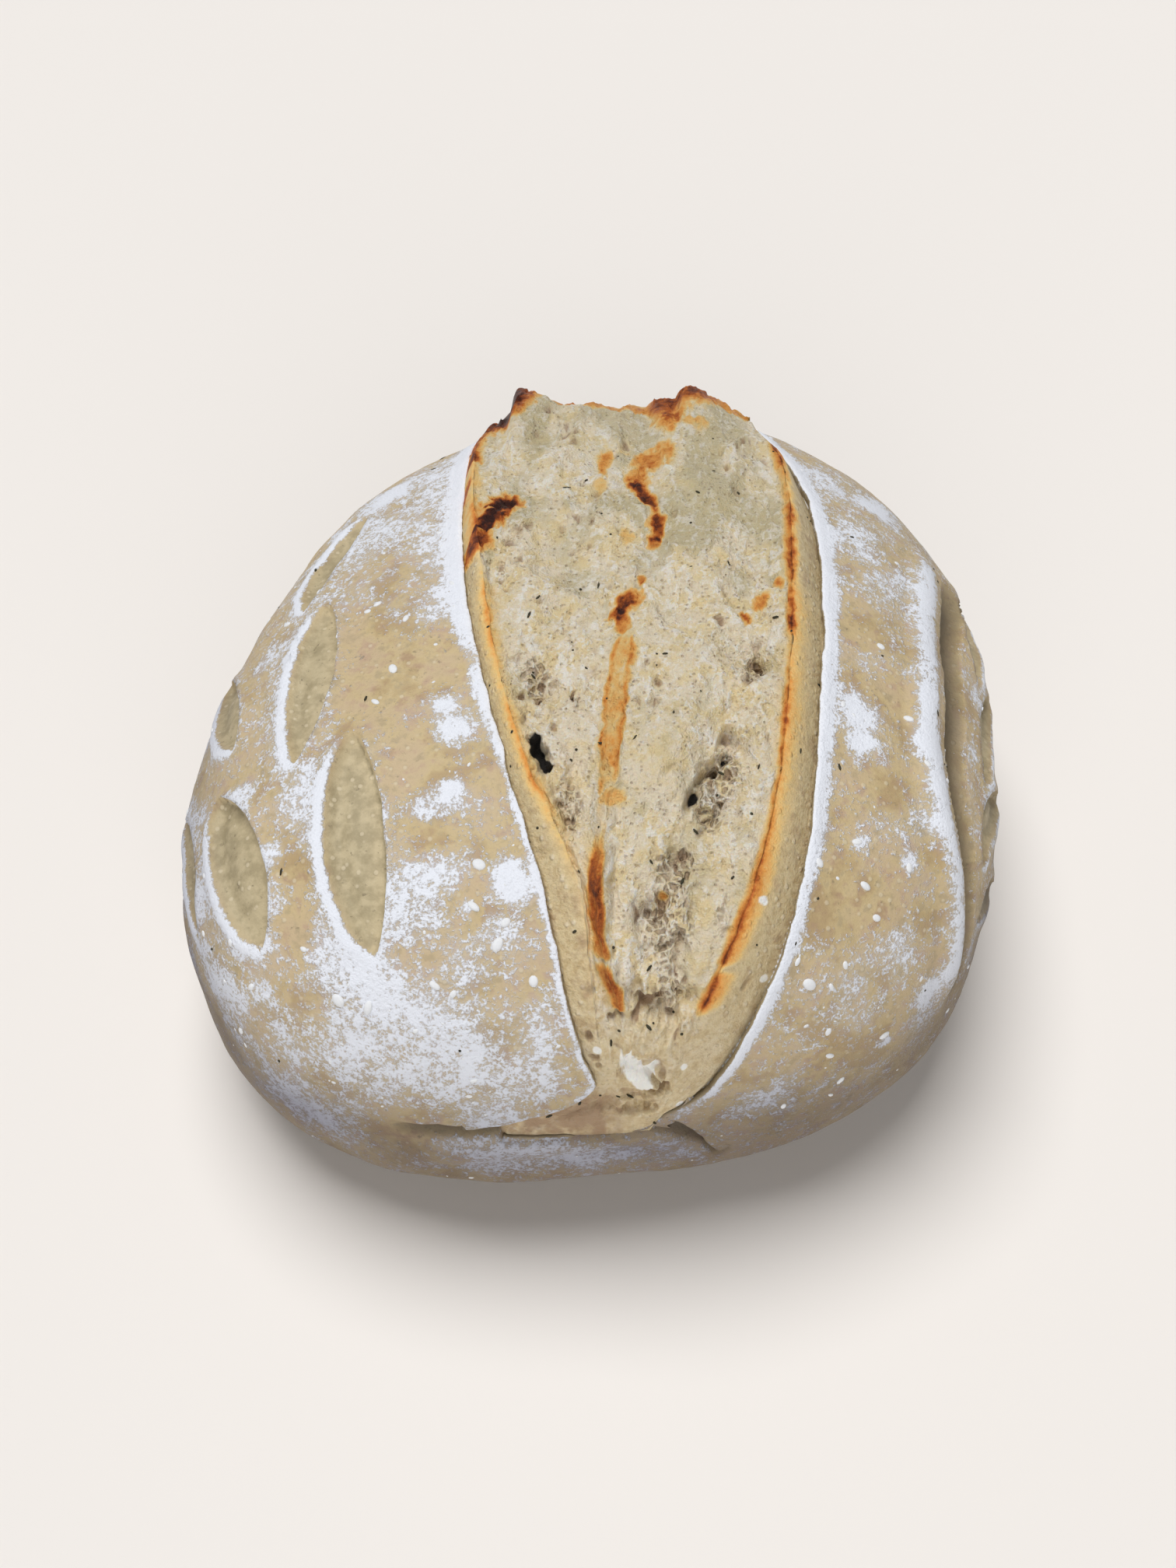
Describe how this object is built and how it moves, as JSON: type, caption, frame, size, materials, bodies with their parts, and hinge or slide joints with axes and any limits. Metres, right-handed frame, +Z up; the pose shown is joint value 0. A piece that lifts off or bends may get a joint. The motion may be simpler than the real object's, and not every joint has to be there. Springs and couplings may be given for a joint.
{
  "type": "sourdough loaf",
  "caption": "Round floured hearth loaf, its long score burst open into a raised band of torn crumb with browned edges, with leaf-shaped cuts down both shoulders.",
  "frame": {"origin": "middle of the loaf's box on the plane of its flat base", "axes": "+Z up from the base, +Y along the burst towards its torn crown, -Y towards the foot of the burst, +X to the right seen from the foot"},
  "size_m": [0.2212, 0.234, 0.1207],
  "materials": {
    "crust": "matte baked bread crust, dusted with flour, with open crumb along the burst"
  },
  "bodies": {
    "root": {"loaf": "crust"}
  },
  "joints": []
}
